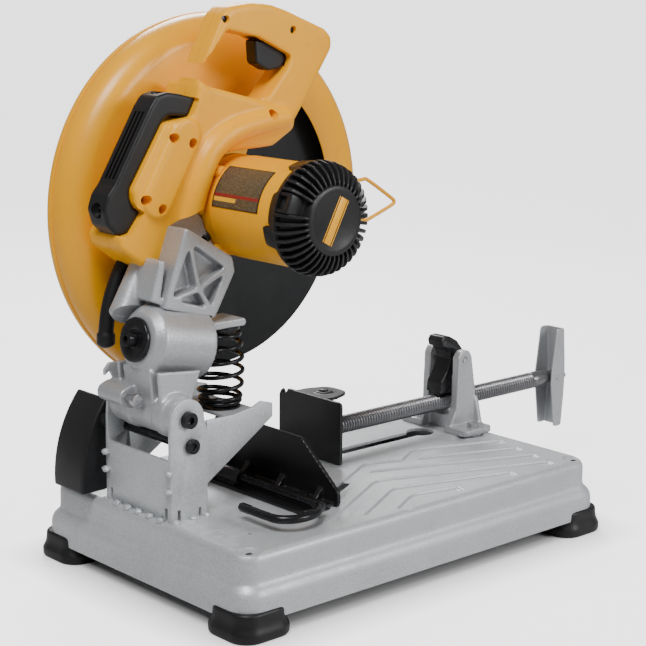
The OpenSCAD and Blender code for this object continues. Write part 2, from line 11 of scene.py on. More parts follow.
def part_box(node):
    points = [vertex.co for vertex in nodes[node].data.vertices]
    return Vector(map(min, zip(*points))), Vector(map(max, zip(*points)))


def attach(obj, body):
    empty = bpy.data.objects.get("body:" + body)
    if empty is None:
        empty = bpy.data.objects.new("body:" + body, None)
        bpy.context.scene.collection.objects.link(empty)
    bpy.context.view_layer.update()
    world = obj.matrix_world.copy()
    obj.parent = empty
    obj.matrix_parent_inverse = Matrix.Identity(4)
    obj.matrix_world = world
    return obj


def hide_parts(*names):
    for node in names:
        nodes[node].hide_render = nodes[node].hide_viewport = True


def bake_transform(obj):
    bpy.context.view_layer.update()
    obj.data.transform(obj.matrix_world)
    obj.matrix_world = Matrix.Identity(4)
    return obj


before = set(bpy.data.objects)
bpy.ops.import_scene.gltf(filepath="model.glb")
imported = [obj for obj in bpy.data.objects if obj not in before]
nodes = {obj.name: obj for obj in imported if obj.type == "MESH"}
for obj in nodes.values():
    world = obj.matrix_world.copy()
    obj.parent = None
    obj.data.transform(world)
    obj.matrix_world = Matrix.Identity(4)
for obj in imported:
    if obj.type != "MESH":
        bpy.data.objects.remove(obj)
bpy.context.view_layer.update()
MM = 0.001


def middle(node):
    """Centre of a CAD node."""
    lo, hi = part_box(node)
    return [(a + b) / 2 / MM for a, b in zip(lo, hi)]


def axis_of(node):
    """Centre of a small fastener, to the whole millimetre, for the holes that take it."""
    return [round(c) for c in middle(node)]


AXLE = middle("abrasive_wheel")
MOTOR = middle("motor_housing")
PIVOT = middle("pivot_bolt")
SCREW = middle("vise_screw")
SEAT = middle("spring_seat_lower")
FENCE_PIVOT = axis_of("fence_pivot_bolt")
FENCE_CLAMP = axis_of("fence_clamp_bolt")
LEVER_PIN = axis_of("lever_pin")
LOCK_PIN = axis_of("lock_pin")
TILT_SCREW = axis_of("deflector_screw")
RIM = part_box("base_pan")[0].z / MM
BASE_HALF_X, BASE_HALF_Y, TABLE = (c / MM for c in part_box("base_pan")[1])
SPRING_LOW, SPRING_TOP = (corner.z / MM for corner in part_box("return_spring"))

# ---- materials


class Nodes:
    """A short hand for building one procedural material."""

    def __init__(self, name):
        self.mat = bpy.data.materials.new(name)
        self.mat.use_nodes = True
        self.tree = self.mat.node_tree
        self.bsdf = self.tree.nodes["Principled BSDF"]
        self.place = self.tree.nodes.new("ShaderNodeTexCoord").outputs["Object"]

    def new(self, kind, **inputs):
        n = self.tree.nodes.new("ShaderNode" + kind)
        for k, v in inputs.items():
            self.put(n.inputs[k.replace("_", " ")], v)
        return n

    def put(self, socket, value):
        if hasattr(value, "links"):
            self.tree.links.new(value, socket)
        else:
            socket.default_value = value

    def surface(self, **inputs):
        for k, v in inputs.items():
            self.put(self.bsdf.inputs[k.replace("_", " ")], v)

    def noise(self, scale, detail=4.0, rough=0.6):
        n = self.new("TexNoise", Vector=self.place, Scale=scale, Detail=detail, Roughness=rough)
        return n.outputs["Fac"]

    def ramp(self, value, low, high, a=0.0, b=1.0):
        n = self.new("MapRange", Value=value, From_Min=low, From_Max=high, To_Min=a, To_Max=b)
        return n.outputs["Result"]

    def blend(self, share, a, b):
        n = self.tree.nodes.new("ShaderNodeMix")
        n.data_type = "RGBA"
        for place, value in ((0, share), (6, a), (7, b)):
            self.put(n.inputs[place], value)
        return n.outputs[2]

    def math(self, operation, a, b=0.0):
        n = self.tree.nodes.new("ShaderNodeMath")
        n.operation = operation
        self.put(n.inputs[0], a)
        self.put(n.inputs[1], b)
        return n.outputs[0]

    def product(self, a, b):
        return self.math("MULTIPLY", a, b)

    def total(self, a, b):
        return self.math("ADD", a, b)

    def bump(self, height, strength, distance):
        n = self.new("Bump", Height=height, Strength=strength, Distance=distance)
        self.surface(Normal=n.outputs[0])

    def edges(self):
        """Bright along outer edges, where hands and chips rub."""
        g = self.tree.nodes.new("ShaderNodeNewGeometry")
        return self.ramp(g.outputs["Pointiness"], 0.53, 0.6)


def rgb(c, k=1.0):
    return (c[0] * k, c[1] * k, c[2] * k, 1.0)


def finish(name, colour, rough, metal, drift, grain, grain_share, relief, relief_scale, depth, wear, worn,
           mirror=0.5, coat=0.0):
    """One finish: colour drift, fine speckle, grime, rubbed edges, uneven gloss and fine relief."""
    n = Nodes(name)
    base = n.blend(n.ramp(n.noise(14.0, 5.0), 0.3, 0.7), rgb(colour, 1 - drift), rgb(colour, 1 + drift))
    fleck = n.ramp(n.noise(grain, 2.0, 0.5), 0.42, 0.62)
    base = n.blend(n.product(fleck, grain_share), base, rgb(colour, 1.9))
    grime = n.product(n.ramp(n.noise(45.0, 6.0, 0.7), 0.55, 0.75), 0.25)
    base = n.blend(grime, base, rgb(colour, 0.6))
    rub = n.product(n.edges(), n.ramp(n.noise(120.0, 4.0), 0.4, 0.65, 0.2, 1.0))
    base = n.blend(n.product(rub, wear), base, rgb(worn))
    gloss = n.ramp(n.noise(60.0, 5.0), 0.3, 0.7, rough - 0.06, rough + 0.07)
    n.surface(Base_Color=base, Metallic=metal, Roughness=n.total(gloss, n.product(rub, -0.06)),
              Specular_IOR_Level=mirror, Coat_Weight=coat, Coat_Roughness=0.18)
    n.bump(n.total(n.noise(relief_scale, 3.0, 0.6), n.product(n.noise(25.0), 0.6)), relief, depth)
    return n.mat


YELLOW = (0.90, 0.395, 0.0)
PALE = (0.95, 0.55, 0.04)
# Colour, roughness, metal share, colour drift, speckle scale and share, relief strength, scale and depth,
# wear and its colour; then, where they differ from the usual, the mirror strength and the clear coat.
FINISHES = {
    "base_paint": ((0.43, 0.445, 0.46), 0.42, 0.35, 0.06, 900, 0.30, 0.30, 700, 0.0005, 0.5,
                   (0.80, 0.81, 0.82)),
    "cast_alloy": ((0.40, 0.41, 0.425), 0.40, 0.5, 0.12, 700, 0.18, 0.4, 420, 0.0007, 0.6,
                   (0.85, 0.86, 0.87)),
    "yellow_plastic": (YELLOW, 0.38, 0.0, 0.02, 1500, 0.0, 0.10, 900, 0.0002, 0.2, PALE, 0.35),
    "yellow_paint": (YELLOW, 0.33, 0.0, 0.02, 900, 0.0, 0.08, 160, 0.0003, 0.2, PALE, 0.35, 0.15),
    "black_plastic": ((0.010, 0.010, 0.011), 0.38, 0.0, 0.2, 1200, 0.10, 0.25, 900, 0.0003, 0.25,
                      (0.06, 0.06, 0.065), 0.35),
    "black_paint": ((0.008, 0.008, 0.009), 0.34, 0.0, 0.2, 900, 0.08, 0.18, 500, 0.0003, 0.4,
                    (0.12, 0.12, 0.13), 0.35),
    "black_rubber": ((0.007, 0.007, 0.008), 0.42, 0.0, 0.25, 1100, 0.10, 0.2, 800, 0.0003, 0.25,
                     (0.05, 0.05, 0.05), 0.35),
    "black_steel": ((0.014, 0.014, 0.016), 0.28, 0.6, 0.2, 800, 0.08, 0.12, 400, 0.0002, 0.35,
                    (0.14, 0.14, 0.15)),
    "zinc_steel": ((0.46, 0.46, 0.47), 0.3, 0.95, 0.12, 800, 0.15, 0.15, 500, 0.0002, 0.35,
                   (0.75, 0.75, 0.75)),
    "screw_steel": ((0.17, 0.17, 0.18), 0.32, 0.8, 0.15, 800, 0.15, 0.15, 500, 0.0002, 0.6, (0.7, 0.7, 0.7)),
    "bronze": ((0.52, 0.34, 0.14), 0.35, 0.9, 0.12, 700, 0.12, 0.15, 400, 0.0003, 0.25,
               (0.884, 0.578, 0.238)),
    "abrasive": ((0.012, 0.013, 0.014), 0.62, 0.0, 0.25, 1400, 0.35, 0.5, 1300, 0.0006, 0.3,
                 (0.1, 0.1, 0.1), 0.3),
}


def label_material():
    """A plain printed plate: dark edge, tan field with fine mottling, and two coloured bands."""
    n = Nodes("label_film")
    chart = n.new("SeparateXYZ", Vector=n.new("UVMap").outputs[0])
    u, v = chart.outputs[0], chart.outputs[1]

    def between(value, low, high):
        return n.product(n.math("GREATER_THAN", value, low), n.math("LESS_THAN", value, high))

    mottle = n.ramp(n.noise(900.0, 3.0, 0.8), 0.45, 0.6)
    base = n.blend(n.product(mottle, 0.55), (0.035, 0.03, 0.022, 1), (0.24, 0.2, 0.13, 1))
    base = n.blend(between(v, 0.24, 0.31), base, (0.22, 0.012, 0.02, 1))
    stripe = n.product(between(v, 0.14, 0.23), n.math("GREATER_THAN", u, 0.5))
    base = n.blend(stripe, base, (0.8, 0.42, 0.02, 1))
    inside = n.product(between(u, 0.025, 0.975), between(v, 0.02, 0.98))
    base = n.blend(inside, (0.012, 0.012, 0.012, 1), base)
    n.surface(Base_Color=base, Roughness=n.ramp(n.noise(80.0), 0.3, 0.7, 0.25, 0.4))
    n.bump(n.noise(600.0), 0.05, 0.0002)
    return n.mat


LOOKS = {name: finish(name, *row) for name, row in FINISHES.items()}
LOOKS["label_film"] = label_material()

# ---- mesh tools


def dress(ob, look, body, replaced=(), smooth=35.0):
    """Gives a finished mesh its finish, its shading and its CAD body, and hides the CAD nodes it stands for.
    """
    wear_look(ob, look, smooth)
    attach(ob, body)
    if replaced:
        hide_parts(*replaced)
    return ob


def wear_look(ob, look, smooth):
    ob.data.materials.clear()
    ob.data.materials.append(LOOKS[look])
    shade(ob, smooth)


def shade(ob, angle):
    me = ob.data
    me.polygons.foreach_set("use_smooth", [True] * len(me.polygons))
    me.set_sharp_from_angle(angle=radians(angle))


def to_object(bm, name, face_out=True):
    if face_out:
        bmesh.ops.recalc_face_normals(bm, faces=bm.faces)
    me = bpy.data.meshes.new(name)
    bm.to_mesh(me)
    bm.free()
    return add(name, me)


def add(name, data):
    ob = bpy.data.objects.new(name, data)
    bpy.context.scene.collection.objects.link(ob)
    return ob


def discard(ob):
    me = ob.data
    bpy.data.objects.remove(ob)
    bpy.data.meshes.remove(me)


def settled(ob):
    """The object as its modifiers leave it."""
    dg = bpy.context.evaluated_depsgraph_get()
    dg.update()
    return ob.evaluated_get(dg)


def settle(ob):
    """Turns an object's modifiers into its mesh."""
    me = bpy.data.meshes.new_from_object(settled(ob))
    ob.modifiers.clear()
    old = ob.data
    ob.data = me
    bpy.data.meshes.remove(old)
    return ob


def flatten(ob):
    """Keeps the wide faces looking flat where small ones meet them."""
    m = ob.modifiers.new("wide", "WEIGHTED_NORMAL")
    m.keep_sharp = True
    m.weight = 80
    return settle(ob)


def add_bevel(ob, width, segments, angle):
    m = ob.modifiers.new("edge", "BEVEL")
    m.width = width * MM
    m.segments = segments
    m.limit_method = "ANGLE"
    m.angle_limit = radians(angle)
    return m


def chamfer(ob, width, segments=2, angle=30.0):
    """Rounds the edges that are sharper than the angle."""
    add_bevel(ob, width, segments, angle).miter_outer = "MITER_ARC"
    return settle(ob)


def polish(ob, look, width):
    """Keeps a CAD object as it is, and breaks its edges with modifiers."""
    ob.modifiers.new("weld", "WELD").merge_threshold = 1e-6
    add_bevel(ob, width, 2, 28.0)
    wear_look(ob, look, 32.0)


def mould(ob, voxel, rounds):
    """Fuses a piece's solids and softens every edge, as a casting or moulding has."""
    m = ob.modifiers.new("fuse", "REMESH")
    m.mode = "VOXEL"
    m.voxel_size = voxel * MM
    m.adaptivity = 0.0
    s = ob.modifiers.new("soft", "SMOOTH")
    s.factor = 0.5
    s.iterations = rounds
    return settle(ob)


def join(name, obs):
    """One object holding all the given objects' faces."""
    bm = bmesh.new()
    for one in obs:
        bm.from_mesh(one.data)
        discard(one)
    return to_object(bm, name, face_out=False)


def combine(ob, other, how="DIFFERENCE"):
    """Cuts one closed mesh with another: the quick solver first, and the exact one if that gives nothing."""
    before = len(ob.data.polygons)
    for solver in ("MANIFOLD", "EXACT"):
        m = ob.modifiers.new("cut", "BOOLEAN")
        m.operation = how
        m.solver = solver
        m.object = other
        if len(settled(ob).data.polygons) not in (0, before):
            settle(ob)
            break
        ob.modifiers.clear()
    else:
        print("CUT DID NOTHING:", ob.name)
    discard(other)
    return ob


def cut(ob, *cutters):
    for one in cutters:
        combine(ob, one)
    return ob


def skin(bm, rows, closed=False):
    """Faces from each loop of points to the next; the last meets the first, or else both ends are capped."""
    n = len(rows[0])
    for a, b in zip(rows, rows[1:] + rows[:1] if closed else rows[1:]):
        for k in range(n):
            bm.faces.new((a[k], a[(k + 1) % n], b[(k + 1) % n], b[k]))
    if not closed:
        bm.faces.new(rows[0])
        bm.faces.new(rows[-1])


def loft(name, loops, closed=False):
    """Skins a stack of equal loops of points."""
    bm = bmesh.new()
    skin(bm, [[bm.verts.new(Vector(p) * MM) for p in loop] for loop in loops], closed)
    return to_object(bm, name)


def solid(name, outline, axis, a, b):
    """A flat outline given depth along an axis: x takes (y, z), y takes (x, z), z takes (x, y)."""
    place = "xyz".index(axis)
    bm = bmesh.new()
    rows = []
    for t in (a, b):
        spots = [[*p[:place], t, *p[place:]] for p in outline]
        rows.append([bm.verts.new([c * MM for c in spot]) for spot in spots])
    skin(bm, rows)
    return to_object(bm, name)


def rect(x0, y0, x1, y1):
    return [(x0, y0), (x1, y0), (x1, y1), (x0, y1)]


def box(name, lo, hi):
    return solid(name, rect(*lo[:2], *hi[:2]), "z", lo[2], hi[2])


def arc(centre, r, first, last, n):
    """Points along an arc; its first and last angles are in degrees."""
    turn = [radians(first + (last - first) * k / n) for k in range(n + 1)]
    return [(centre[0] + r * cos(a), centre[1] + r * sin(a)) for a in turn]


def circle(centre, r, n=48):
    return arc(centre, r, 0, 360, n)[:-1]


def stadium(a, b, r):
    """Outline of a round-ended bar from a to b."""
    way = degrees(atan2(b[1] - a[1], b[0] - a[0]))
    return arc(a, r, way + 90, way + 270, 16) + arc(b, r, way - 90, way + 90, 16)


def disc(name, centre, r, axis, a, b, n=48):
    return solid(name, circle(centre, r, n), axis, a, b)


def rounded(points, r, n=6):
    """The outline with each corner turned into a curve; r is one radius or one per corner."""
    out = []
    count = len(points)
    for i in range(count):
        p = Vector(points[i])
        a = Vector(points[i - 1]) - p
        b = Vector(points[(i + 1) % count]) - p
        half = a.angle(b) / 2
        want = r[i] if hasattr(r, "__len__") else r
        back = min(want / tan(half), 0.48 * a.length, 0.48 * b.length)
        if want <= 0 or half > radians(87):
            out.append(tuple(p))
        else:
            out += [tuple(q) for q in bend(p + a.normalized() * back, p, p + b.normalized() * back, n)]
    return out


def bend(start, corner, end, n):
    """A curve from start to end that turns at the corner."""
    shares = [k / n for k in range(n + 1)]
    return [start * (1 - t) ** 2 + corner * 2 * t * (1 - t) + end * t * t for t in shares]


def lathe(name, profile, centre, axis="x", steps=96, a0=0.0, a1=360.0):
    """Turns a closed (radius, station) outline about an axis; a part turn gets flat ends."""
    bm = bmesh.new()
    full = a1 - a0 >= 360
    rows = []
    for i in range(steps if full else steps + 1):
        a = radians(a0 + (a1 - a0) * i / steps)
        row = []
        for r, t in profile:
            u, v = centre[0] + r * cos(a), centre[1] + r * sin(a)
            spot = {"x": (t, u, v), "y": (u, t, v), "z": (u, v, t)}[axis]
            row.append(bm.verts.new(Vector(spot) * MM))
        rows.append(row)
    skin(bm, rows, full)
    bmesh.ops.remove_doubles(bm, verts=bm.verts, dist=1e-7)
    bmesh.ops.dissolve_degenerate(bm, edges=bm.edges, dist=1e-7)
    return to_object(bm, name)


def smooth_path(points, n=10):
    """A curve through the points, sampled n times between each pair."""
    p = [Vector(q) for q in points]
    p = [p[0] * 2 - p[1], *p, p[-1] * 2 - p[-2]]
    out = []
    for i in range(1, len(p) - 2):
        for k in range(n):
            t = k / n
            a, b, c, d = p[i - 1 : i + 3]
            out.append(0.5 * (2 * b + (c - a) * t + (2 * a - 5 * b + 4 * c - d) * t * t
                              + (3 * b - a - 3 * c + d) * t ** 3))
    out.append(p[-2])
    return out


def heading(path, i):
    return (path[min(i + 1, len(path) - 1)] - path[max(i - 1, 0)]).normalized()


def tube(name, path, r, sides=16):
    """A round bar along a path, with domed ends; r is one radius or a function of the share run."""
    dome = [(0.5, 0.45), (0.87, 0.2)]  # share of the radius, and how far past the end as a share of it
    path = [Vector(p) for p in path]
    last = len(path) - 1
    up = Vector((0.3, 0.2, 1)).normalized()
    loops = []
    for i, p in enumerate(path):
        d = heading(path, i)
        up = (up - d * up.dot(d)).normalized()
        other = d.cross(up)
        radius = r(i / last) if callable(r) else r
        rings = [(1.0, 0.0)]
        if i == 0:
            rings = [(share, -past) for share, past in dome] + rings
        if i == last:
            rings += dome[::-1]
        for share, past in rings:
            turn = [2 * pi * k / sides for k in range(sides)]
            centre = p + d * past * radius
            loops.append([centre + (up * cos(a) + other * sin(a)) * (radius * share) for a in turn])
    return loft(name, loops)


def round_rect(cx, cy, hx, hy, r, z, side=6):
    """A rounded rectangle loop at height z, with points along its sides too."""
    signs = ((1, 1), (-1, 1), (-1, -1), (1, -1))
    corners = []
    for q, (sx, sy) in enumerate(signs):
        corners.append(arc((cx + sx * (hx - r), cy + sy * (hy - r)), r, 90 * q, 90 * q + 90, 10))
    out = []
    for q, corner in enumerate(corners):
        out += corner
        (x0, y0), (x1, y1) = corner[-1], corners[(q + 1) % 4][0]
        out += [(x0 + (x1 - x0) * k / side, y0 + (y1 - y0) * k / side) for k in range(1, side)]
    return [(x, y, z) for x, y in out]


def spin(ob, spot, angle):
    """Moves a part made at the origin to a spot, turned about its own x by an angle in degrees."""
    ob.data.transform(Matrix.Translation(Vector(spot) * MM) @ Matrix.Rotation(radians(angle), 4, "X"))
    return ob


def aim(ob, spot, way):
    """Moves a part made about +Z at the origin to a spot, turned to point along `way` in the (y, z) plane."""
    turn = Vector((0, *way)).to_track_quat("Z", "Y").to_matrix().to_4x4()
    ob.data.transform(Matrix.Translation(Vector(spot) * MM) @ turn)
    return ob


# ---- base

CORNERS = [(sx, sy) for sx in (-1, 1) for sy in (-1, 1)]
POST = (146, 232)  # the screw at each corner of the base
VISE_BOLTS = [(SCREW[0] - 44, -222), (SCREW[0] + 44, -222)]
THROUGH = ("z", 70, 90)  # a cutter's reach through the table


def base_shell():
    """Stamped sheet base: stepped skirt, crowned edge, corner dishes, slots, holes and pressed grooves."""

    def loop(inset, z):
        return round_rect(0, 0, BASE_HALF_X - inset, BASE_HALF_Y - inset, max(24 - 0.5 * inset, 8), z, 8)

    inner = [(15.5, TABLE - 3), (12.6, 77), (11.2, 73), (11, 58), (10.6, 54), (8.2, 50), (5.2, 46), (3.2, 42),
             (3, 38), (3, RIM + 1), (2.6, RIM)]
    outer = [(0.4, RIM), (0, RIM + 1), (0, 38), (0.6, 42), (2.2, 46), (4.6, 49), (6.6, 51), (7.7, 54),
             (8, 58), (8, 71), (8.5, 75), (10, 78.2), (12.4, 80.2), (15.5, TABLE)]
    ob = loft("base_shell", [loop(i, z) for i, z in inner + outer])
    dish = [(0, 78.8), (8.5, 78.8), (10.5, 79.1), (12.4, 80.4), (13.6, 81.6), (14, 84), (0, 84)]
    for sx, sy in CORNERS:
        spot = (sx * POST[0], sy * POST[1])
        cut(ob, lathe("dish", dish, spot, "z", 48), disc("hole", spot, 3.6, "z", 60, 90, 28))
    wheel_slot = rounded(rect(119, -130, 133, 95), 5)
    screw_slot = rounded(rect(SCREW[0] - 9, -188, SCREW[0] + 9, 44), 6)
    reach, half = FENCE_PIVOT[0] - FENCE_CLAMP[0], 4.6
    clamp_slot = arc(FENCE_PIVOT, reach + half, 178, 212, 24) + arc(FENCE_PIVOT, reach - half, 212, 178, 24)
    cut(ob, *[solid("slot", line, *THROUGH) for line in (wheel_slot, screw_slot, clamp_slot)])
    cut(ob, disc("hole", (SCREW[0], -180), 16, *THROUGH), disc("hole", (-108, 200), 2.2, *THROUGH, 16))
    cut(ob, *[disc("hole", spot, 4.1, *THROUGH, 24) for spot in VISE_BOLTS])
    cut(ob, disc("hole", FENCE_PIVOT, 5.2, *THROUGH, 24))
    cut(ob, *grooves())
    return flatten(dress(ob, "base_paint", "base", ["base_pan"], 50))


def grooves():
    """Cutters for the parallel dog-legged grooves pressed into the table, on the side away from the wheel."""
    # Where each groove bends, where it ends at the front, and how long its back leg is.
    lines = [((-12.5, -125), (-49.5, -224), 44), ((-16.5, -46), (-81.5, -217), 120),
             ((-35.5, -18), (-111.5, -211), 158), ((-68.5, -13), (-140, -203), 148),
             ((-99.5, -9), (-140, -141), 96), ((-127.5, -8), (-140, -59), 50),
             ((-5.5, -198), (-17.5, -229), 16)]
    lean = radians(28)
    out = []
    for corner, front, leg in lines:
        corner, front = Vector(corner), Vector(front)
        back = corner + Vector((-sin(lean), cos(lean))) * leg
        r = min(10, leg * 0.4)
        start = corner + (front - corner).normalized() * r
        end = corner + (back - corner).normalized() * r
        path = [front + (start - front) * k / 10 for k in range(10)]
        path += bend(start, corner, end, 8)
        path += [end + (back - end) * k / 8 for k in range(1, 9)]
        out.append(groove(path, 8.0, 2.5))
    return out


def groove(path, half, depth):
    """A trough along a path, with sloping walls and run-out ends, as a closed cutter over the table."""
    above, skim = 3, 0.05
    wall = ((1.0, -above / depth), (1.0, 0.0), (0.95, 0.12), (0.87, 0.6), (0.80, 0.93), (0.72, 1.0))
    section = [(-w, z) for w, z in wall] + list(reversed(wall))
    run_out = [(0.0, 0.02), (1.2, 0.55), (2.4, 1.0)]  # distance in from an end, and share of the depth there
    loops = []
    for i, p in enumerate(path):
        d = heading(path, i)
        side = Vector((-d.y, d.x))
        stops = [(0.0, 1.0)]
        if i == 0:
            stops = run_out
        if i == len(path) - 1:
            stops = [(-far, share) for far, share in reversed(run_out)]
        for far, share in stops:
            loop = []
            for w, z in section:
                v = p + d * far + side * half * w
                height = TABLE + above if z < 0 else TABLE + skim - depth * z * share
                loop.append((v.x, v.y, height))
            loops.append(loop)
    return loft("groove", loops)


def rubber_feet():
    """Rubber feet that wrap the base's corners: a tapered pad, a groove, a flared lip and a post inside."""
    steps = [(3.5, 0), (1.2, 0.7), (0.2, 2.6), (0, 5), (0, 8.5), (0.5, 10.2), (1.6, 12.6), (2.8, 16),
             (3.4, 20), (3.6, 24.5), (4.0, 26.6), (4.8, 27.7), (5.8, 28)]
    half, corner = 33, 20
    feet = []
    for sx, sy in CORNERS:
        foot = loft("foot", [round_rect(sx * 140, sy * 227, half - i, half - i, corner - i * 0.6, z)
                             for i, z in steps])
        core = [round_rect(0, 0, BASE_HALF_X + 0.1, BASE_HALF_Y + 0.1, 24, z) for z in (RIM, 40)]
        cut(foot, loft("core", core))
        spot = (sx * POST[0], sy * POST[1])
        post = disc("post", spot, 7.5, "z", 10, TABLE - 7.2, 40)
        for part in (foot, post):
            cut(part, disc("bore", spot, 4.5, "z", -2, TABLE, 24))
        feet += [foot, post]
    return dress(join("rubber_feet_soft", feet), "black_rubber", "base", ["rubber_feet"], 40)


def weld_beads():
    """Lumpy weld tacks at the bracket's foot and up its seam."""
    rng = np.random.default_rng(7)
    spots = [(-38.5, y, TABLE) for y in (196, 213, 234)]
    spots += [(x, 240.5, TABLE) for x in (-22, -4, 14, 32, 50)]
    spots += [(73.5, y, TABLE) for y in (198, 216, 232)]
    spots += [(x, 239.5, z) for x in (-34, 70) for z in (112, 130)]
    beads = []
    for x, y, z in spots:
        bm = bmesh.new()
        bmesh.ops.create_icosphere(bm, subdivisions=3, radius=1.0)
        for v in bm.verts:
            k = 1 + 0.12 * rng.standard_normal()
            v.co = Vector((x + v.co.x * 5.2 * k, y + v.co.y * 4.2 * k, z + v.co.z * 3.4 * k)) * MM
        beads.append(to_object(bm, "bead"))
    return dress(mould(join("weld_beads", beads), 0.9, 4), "base_paint", "base", (), 60)


# ---- vise


def vise_screw():
    """Threaded bar: the thread is real relief, run along a plain shank."""
    y0, y1, sides, pitch, crest, root = -372.0, -40.0, 40, 4.0, 9.95, 8.3

    def ring(y, radii):
        turn = [2 * pi * k / sides for k in range(sides)]
        return [(SCREW[0] + r * cos(a), y, SCREW[2] + r * sin(a)) for a, r in zip(turn, radii)]

    head = [(-424, 6.4), (-423, 7), (-396, 7), (-395.5, 9.6), (-394.5, 10), (-376, 10), (-374, 9.4)]
    tail = [(-39, 8.2), (-38.3, 7), (-20.6, 7), (-20.4, 6.6)]
    count = int((y1 - y0) / pitch * 8)
    thread = []
    for i in range(count + 1):
        y = y0 + (y1 - y0) * i / count
        waves = [abs(((y / pitch + k / sides) % 1.0) * 2 - 1) for k in range(sides)]
        thread.append(ring(y, [root + (crest - root) * min(1.0, max(0.0, 1.4 * w - 0.15)) for w in waves]))
    loops = [ring(y, [r] * sides) for y, r in head] + thread + [ring(y, [r] * sides) for y, r in tail]
    return dress(loft("vise_screw_threaded", loops), "screw_steel", "vise_screw", ["vise_screw"], 60)


def crank():
    """Stamped crank: two leaf-shaped cheeks folded about a spine, with a middle crease."""
    x0, x1, sheet = SCREW[0] - 14, SCREW[0] + 14, 2.2
    cheek = rounded([(-396.5, 119), (-396.5, 105), (-404, 50), (-417, 50), (-420.5, 88), (-421.5, 112),
                     (-420.5, 136), (-417, 174), (-404, 174)], 4, 4)
    parts = [solid("cheek", cheek, "x", x0, x0 + sheet), solid("cheek", cheek, "x", x1 - sheet, x1)]
    web = [(-415.8, 50), (-418, 50), (-421.5, 112), (-418, 174), (-415.8, 174), (-419.2, 112)]
    parts.append(solid("web", web, "x", x0 + 1, x1 - 1))
    ob = mould(join("crank_leaf", parts), 0.8, 4)
    cut(ob, disc("hole", (-408, SCREW[2]), 2.6, "x", x0 - 2, x1 + 2, 24))
    return dress(ob, "cast_alloy", "vise_screw", ["crank_handle"], 40)


def vise_bracket():
    """Cast bracket: two tapering cheeks on spread feet with bolt bosses."""
    x, low = SCREW[0], TABLE + 0.3
    ears = rounded([(-247, TABLE), (-199, TABLE), (-203, 92), (-211, 108), (-213, 168), (-218, 176),
                    (-230, 176), (-235, 168), (-242, 128)], [2, 2, 6, 8, 6, 7, 7, 8, 10], 5)
    parts = [solid("ear", ears, "x", near, near + 10) for near in (x - 28, x + 18)]
    for s in (-1, 1):
        foot = rounded(rect(x + s * 20, -246, x + s * 54, -200), [1, 8, 8, 1], 5)
        parts.append(solid("foot", foot, "z", low, 88.5))
        rib = rounded([(x + s * 26, 86), (x + s * 38, 86), (x + s * 27, 128)], 2, 3)
        parts.append(solid("rib", rib, "y", -246, -240))
    parts += [disc("boss", spot, 9, "z", 86, 89, 32) for spot in VISE_BOLTS]
    parts.append(box("bridge", (x - 20, -246, low), (x + 20, -214, 97)))
    ob = mould(join("vise_bracket_cast", parts), 1.1, 5)
    cut(ob, disc("bore", LEVER_PIN[1:], 4.2, "x", 0, 80, 24))
    cut(ob, *[disc("bore", spot, 4.2, "z", 70, 100, 24) for spot in VISE_BOLTS])
    return dress(ob, "cast_alloy", "base", ["vise_bracket"], 45)


def lever():
    """Hooked quick-release lever."""
    hook = rounded([(-201, 187), (-203, 180), (-209, 178), (-214, 173), (-217, 165), (-211, 150), (-202, 138),
                    (-200, 120), (-234, 119), (-237, 150), (-240, 160), (-237, 173), (-227, 185), (-214, 192),
                    (-205, 192)], [3, 2, 4, 5, 8, 10, 5, 3, 4, 9, 7, 8, 9, 8, 3], 5)
    x = SCREW[0]
    ob = chamfer(solid("release_lever_hook", hook, "x", x - 12, x + 12), 2.0, 3)
    cut(ob, disc("bore", (x, SCREW[2]), 12.6, "y", -250, -190, 40))
    cut(ob, disc("bore", LEVER_PIN[1:], 4.1, "x", 0, 80, 24))
    cut(ob, *[box("side", (near, -245, 100), (near + 12, -195, 126)) for near in (x - 19, x + 7)])
    return dress(ob, "black_paint", "release_lever", ["release_lever"], 40)


def vise_jaw():
    """Pressed jaw plate with a folded round tab, a notch, and the rivet's raised ring."""
    x, rivet = SCREW[0], (SCREW[0], -28)
    face = rounded([(x - 50, 84), (x + 50, 84), (x + 50, 147), (x + 45, 154), (x + 43, 149), (x + 38, 149),
                    (x + 37, 154), (x - 50, 154)], [4, 4, 3, 2, 2, 2, 2, 5], 4)
    tab = rounded([(x - 26, -8), (x + 26, -8), (x + 25, -26), (x + 16, -50), (x - 16, -50), (x - 25, -26)],
                  [2, 2, 14, 16, 16, 14], 8)
    parts = [solid("face", face, "y", -11, -7.2), solid("tab", tab, "z", 150.4, 154)]
    ring = [(0, 153), (9.6, 153), (9.6, 154.8), (8.8, 155.4), (0, 155.4)]
    parts.append(lathe("ring", ring, rivet, "z", 40))
    ob = mould(join("vise_jaw_pressed", parts), 0.9, 3)
    cut(ob, disc("bore", rivet, 5.05, "z", 140, 160, 32))
    return dress(ob, "black_paint", "vise_jaw", ["vise_jaw"], 40)


def fence():
    """Folded fence plate with a chamfered corner, a foot, gussets and a fold radius."""
    low = TABLE + 0.2
    plate = rounded([(-106, low), (90, low), (90, 142), (-50, 142), (-106, 97)], [4, 4, 7, 10, 8], 5)
    foot = rounded(rect(-100, 81, 98, 127.5), [1, 1, 8, 8], 5)
    parts = [solid("plate", plate, "y", 80, 84), solid("foot", foot, "z", low, TABLE + 4)]
    for x in (-84, -26, 30):
        parts.append(solid("gusset", [(82, 83), (97, 83), (82, 100)], "x", x, x + 7))
    ob = mould(join("fence_folded", parts), 1.0, 3)
    for spot, r in ((FENCE_PIVOT, 5.1), (FENCE_CLAMP, 4.1)):
        cut(ob, disc("bore", spot, r, "z", 70, 100, 24))
    return dress(ob, "black_paint", "fence", ["fence"], 40)


